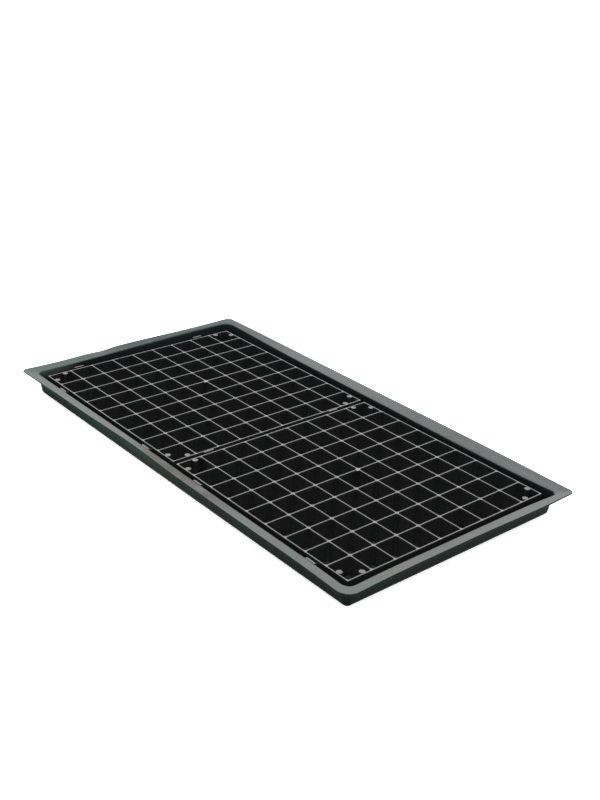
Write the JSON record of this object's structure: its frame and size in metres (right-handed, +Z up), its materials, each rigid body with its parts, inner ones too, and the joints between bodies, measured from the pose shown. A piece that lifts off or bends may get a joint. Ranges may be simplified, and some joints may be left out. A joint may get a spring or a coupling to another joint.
{
  "type": "spill containment pallet",
  "caption": "Shallow rectangular spill tray with an outward flange and a sump, covered by lift-out grates with square cells.",
  "frame": {"origin": "centre of the tray's underside, on the surface that it stands on", "axes": "+X along the long side, +Y along the short side, +Z up"},
  "size_m": [1.0974, 0.5854, 0.0548],
  "materials": {
    "tray_plastic": "satin green-black thermoformed sheet, slightly scuffed on the flange",
    "grate_plastic": "satin black injection moulding, lighter and dusty on the tops of the ribs"
  },
  "bodies": {
    "tray": {"spill_tray": "tray_plastic"},
    "left_grate": {"grate_left": "grate_plastic"},
    "right_grate": {"grate_right": "grate_plastic"}
  },
  "joints": [
    {"name": "left_grate_lift", "type": "slide", "parent": "tray", "child": "left_grate", "axis": [0, 0, 1], "range_m": [0, 0.12]},
    {"name": "right_grate_lift", "type": "slide", "parent": "tray", "child": "right_grate", "axis": [0, 0, 1], "range_m": [0, 0.12]}
  ]
}
